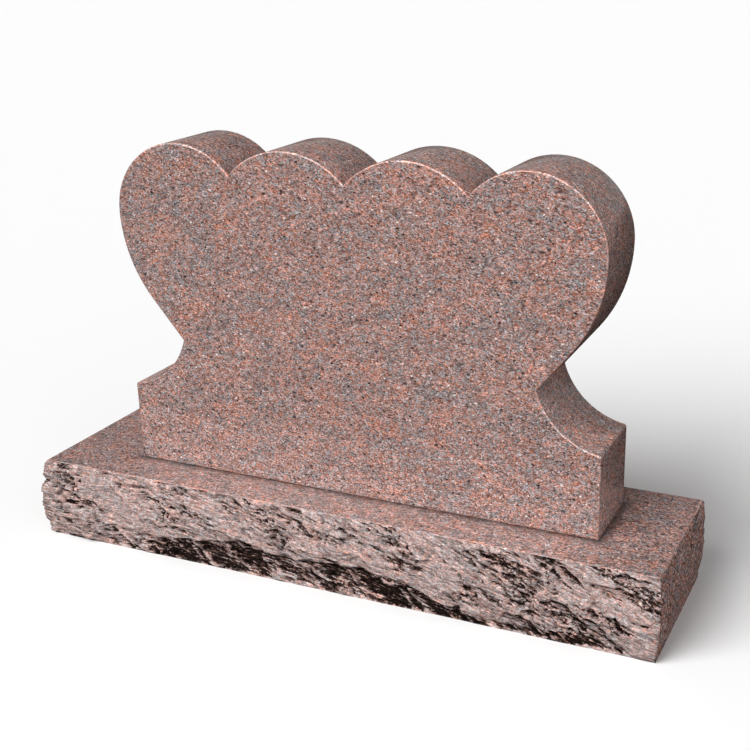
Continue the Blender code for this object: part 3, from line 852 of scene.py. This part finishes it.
        # Painted shade from that value, broken up by the flakes
        swing = nodes.math("ADD", nodes.math("MULTIPLY", nodes.spread(sunk, 0.0, 1.0), 1.3), 0.75)
        share = nodes.math("ADD", sunk, nodes.math("MULTIPLY", nodes.math("SUBTRACT", 0.5, flake), swing))
        dark = nodes.ramp(nodes.math("MULTIPLY", share, 0.8), (
            (0.16, grey(1)), (0.36, (0.36, 0.31, 0.29, 1)), (0.62, (0.075, 0.056, 0.049, 1)),
            (0.92, (0.020, 0.016, 0.013, 1)),
        ))
        stone = nodes.mix(1.0, stone, dark, "MULTIPLY")
        # Painted highlight on raised crests
        raised = nodes.ramp(ridge, ((0.0, grey(1)), (1.0, grey(1.22))))
        stone = nodes.mix(1.0, stone, raised, "MULTIPLY")
    stone = nodes.mix(1.0, stone, grey(finish.gain), "MULTIPLY")
    # Painted highlight on the arris where it faces up and to the right
    if arris_highlight:
        stone = nodes.mix(1.0, stone, painted_arris_highlight(nodes, place), "MULTIPLY")
    # Painted contact shadow where the tablet stands on the base
    if contact_shadow_on is not None:
        stone = nodes.mix(1.0, stone, painted_contact_shadow(nodes, place, contact_shadow_on == "tablet"), "MULTIPLY")
    nodes.feed(nodes.shader.inputs["Base Color"], stone)
    nodes.shader.inputs["Specular IOR Level"].default_value = finish.specular

    rough = nodes.ramp(drawn.outputs[2], ((0.0, grey(finish.rough_low)), (1.0, grey(finish.rough_high))))
    nodes.feed(nodes.shader.inputs["Roughness"], rough)
    relief = nodes.add("ShaderNodeBump", Height=height)
    relief.inputs["Strength"].default_value = finish.bump_strength
    relief.inputs["Distance"].default_value = finish.bump_depth
    nodes.feed(nodes.shader.inputs["Normal"], relief.outputs[0])
    return material


POLISHED = Finish(0.89, 1.00, 0.0, 0.14, 0.26, 0.04, 0.0004, 0.35, 480.0)
# The sides' finish is the polished face's drawn brighter: painted light on the tablet's sides
SIDES = Finish(1.03, 0.90, 0.0, 0.14, 0.26, 0.04, 0.0004, 0.50, 400.0)
HONED = Finish(0.92, 1.20, 0.0, 0.28, 0.40, 0.08, 0.0005, 0.50, 450.0)
ARRIS = Finish(1.00, 0.9, 0.10, 0.30, 0.45, 0.10, 0.0006, 0.7, 480.0)
BASE_EDGE = Finish(1.20, 0.8, 0.0, 0.40, 0.55, 0.10, 0.0006, 0.4, 480.0)
# A darker granite for the base's right end: painted shade on the end turned away from the light
SHADED_RIGHT_END = Finish(1.00, 1.30, 0.05, 0.60, 0.80, 0.80, 0.0025, 0.2, 240.0)
BROKEN = Finish(1.01, 0.92, -0.05, 0.70, 0.90, 0.90, 0.0036, 0.05, 420.0)


def floor_material():
    material = bpy.data.materials.new("studio_floor")
    nodes = Nodes(material)
    nodes.shader.inputs["Base Color"].default_value = (0.93, 0.93, 0.93, 1.0)
    nodes.shader.inputs["Roughness"].default_value = 0.9
    nodes.shader.inputs["Specular IOR Level"].default_value = 0.0
    return material


def make_floor():
    half = FLOOR_HALF_SIZE
    mesh = bpy.data.meshes.new("studio_floor")
    corners = [(-half, -half, 0), (half, -half, 0), (half, half, 0), (-half, half, 0)]
    mesh.from_pydata(corners, [], [(0, 1, 2, 3)])
    floor = bpy.data.objects.new("studio_floor", mesh)
    bpy.context.scene.collection.objects.link(floor)
    mesh.materials.append(floor_material())
    floor.visible_diffuse = False
    floor.visible_glossy = False
    return floor


def add_sun(name, towards, strength, spread, mirrored, lit, shading):
    """A wide sun from one side that lights only some objects, and is shaded only by some."""
    lamp = bpy.data.lights.new(name, "SUN")
    lamp.energy = strength
    lamp.angle = math.radians(spread)
    item = bpy.data.objects.new(name, lamp)
    item.rotation_euler = Vector(towards).to_track_quat("Z", "Y").to_euler()
    bpy.context.scene.collection.objects.link(item)
    item.visible_glossy = mirrored
    item.light_linking.receiver_collection = lit
    item.light_linking.blocker_collection = shading


# The studio: pale walls that are brightest low down, with none below the horizon, and wide suns,
# one set for the stone and one for the floor. Each sun has its direction, strength, spread in
# degrees, and whether the stone mirrors it.
WALL_GLOW = 1.60
WALL_BEHIND = 0.22
BACKDROP_GLOW = 1.0
STONE_LIGHTS = (
    ("key_light", (-0.33, -0.93, 0.80), 4.19, 52.0, True),
    ("side_light", (0.93, -0.15, 0.26), 0.62, 40.0, True),
    ("back_light", (-0.30, 0.95, -0.20), 2.60, 40.0, False),
)
FLOOR_LIGHTS = (
    ("floor_light_left", (-0.55, -0.90, 0.80), 3.95, 48.0, False),
    ("floor_light_right", (0.60, -0.80, 0.70), 0.6, 60.0, False),
)
BOUNCE_POWER = 0.8
BOUNCE_HEIGHT = 0.22
BOUNCE_MIDDLE = 0.16
BOUNCE_GAP = 0.02


def collect(name, objects):
    group = bpy.data.collections.new(name)
    for item in objects:
        group.objects.link(item)
    return group


def make_light(stones, floor):
    world = bpy.data.worlds.new("studio")
    bpy.context.scene.world = world
    world.use_nodes = True
    tree = world.node_tree
    background = tree.nodes["Background"]
    background.inputs["Color"].default_value = (1.0, 1.0, 1.0, 1.0)
    direction = tree.nodes.new("ShaderNodeTexCoord").outputs["Generated"]
    split = tree.nodes.new("ShaderNodeSeparateXYZ")
    tree.links.new(direction, split.inputs[0])
    walls = tree.nodes.new("ShaderNodeValToRGB")
    walls.color_ramp.interpolation = "LINEAR"
    stops = walls.color_ramp.elements
    stops[0].position, stops[0].color = 0.0, grey(0.0)
    stops[1].position, stops[1].color = 1.0, grey(0.04)
    for height, glow in ((0.49, 0.0), (0.52, 1.0), (0.60, 0.58), (0.70, 0.28), (0.85, 0.08)):
        stops.new(height).color = grey(glow)
    height = tree.nodes.new("ShaderNodeMapRange")
    height.inputs["From Min"].default_value = -1.0
    height.inputs["From Max"].default_value = 1.0
    tree.links.new(split.outputs[2], height.inputs["Value"])
    tree.links.new(height.outputs[0], walls.inputs[0])
    in_front = tree.nodes.new("ShaderNodeMapRange")
    in_front.interpolation_type = "SMOOTHSTEP"
    in_front.inputs["From Min"].default_value = 0.9
    in_front.inputs["From Max"].default_value = -0.4
    in_front.inputs["To Min"].default_value = WALL_GLOW * WALL_BEHIND
    in_front.inputs["To Max"].default_value = WALL_GLOW
    tree.links.new(split.outputs[1], in_front.inputs["Value"])
    strength = tree.nodes.new("ShaderNodeMath")
    strength.operation = "MULTIPLY"
    tree.links.new(walls.outputs[0], strength.inputs[0])
    tree.links.new(in_front.outputs[0], strength.inputs[1])

    # The backdrop behind the floor shows plain white from every side
    seen = tree.nodes.new("ShaderNodeMix")
    tree.links.new(tree.nodes.new("ShaderNodeLightPath").outputs["Is Camera Ray"], seen.inputs[0])
    tree.links.new(strength.outputs[0], seen.inputs[2])
    seen.inputs[3].default_value = BACKDROP_GLOW
    tree.links.new(seen.outputs[0], background.inputs["Strength"])
    casters = collect("casters", stones)
    for settings in STONE_LIGHTS:
        add_sun(*settings, collect(settings[0] + "_lights", stones), casters)
    for settings in FLOOR_LIGHTS:
        add_sun(*settings, collect(settings[0] + "_lights", [floor]), casters)

    # Light thrown back onto the base by the tablet's front
    low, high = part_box("tablet")
    lamp = bpy.data.lights.new("bounce", "AREA")
    lamp.shape = "RECTANGLE"
    lamp.size, lamp.size_y = high.x - low.x, BOUNCE_HEIGHT
    lamp.energy = BOUNCE_POWER
    item = bpy.data.objects.new("bounce", lamp)
    item.location = ((low.x + high.x) / 2, low.y - BOUNCE_GAP, low.z + BOUNCE_MIDDLE)
    item.rotation_euler = Vector((0.0, 0.6, 0.8)).to_track_quat("Z", "Y").to_euler()
    item.visible_camera = False
    item.visible_glossy = False
    bpy.context.scene.collection.objects.link(item)


def make_camera():
    camera = bpy.data.cameras.new("camera")
    camera.lens = CAMERA_LENS
    camera.sensor_width = CAMERA_SENSOR
    camera.shift_x = CAMERA_SHIFT_X
    item = bpy.data.objects.new("camera", camera)
    bpy.context.scene.collection.objects.link(item)
    back = Vector((
        math.sin(CAMERA_TURN) * math.cos(CAMERA_RISE),
        -math.cos(CAMERA_TURN) * math.cos(CAMERA_RISE),
        math.sin(CAMERA_RISE),
    ))
    right = Vector((math.cos(CAMERA_TURN), math.sin(CAMERA_TURN), 0.0))
    turned = Matrix((right, back.cross(right), back)).transposed().to_4x4()
    turned.translation = Vector(CAMERA_PLACE)
    item.matrix_world = turned
    bpy.context.scene.camera = item


def main():
    polished = granite("polished_face", POLISHED, contact_shadow_on="tablet")
    sides = granite("polished_sides", SIDES, contact_shadow_on="tablet")
    arris = granite("ground_arris", ARRIS, arris_highlight=True)
    rock = granite("broken_rock", BROKEN, broken=True)
    top = granite("honed_top", HONED, contact_shadow_on="base")
    edge = granite("base_edge", BASE_EDGE)
    end = granite("shaded_right_end", SHADED_RIGHT_END)
    tablet = make_tablet((polished, arris, sides))
    base = make_base((rock, top, edge, end))
    floor = make_floor()
    make_light((tablet, base), floor)
    make_camera()
    scene = bpy.context.scene
    scene.view_settings.view_transform = "Standard"
    scene.view_settings.look = "None"


main()
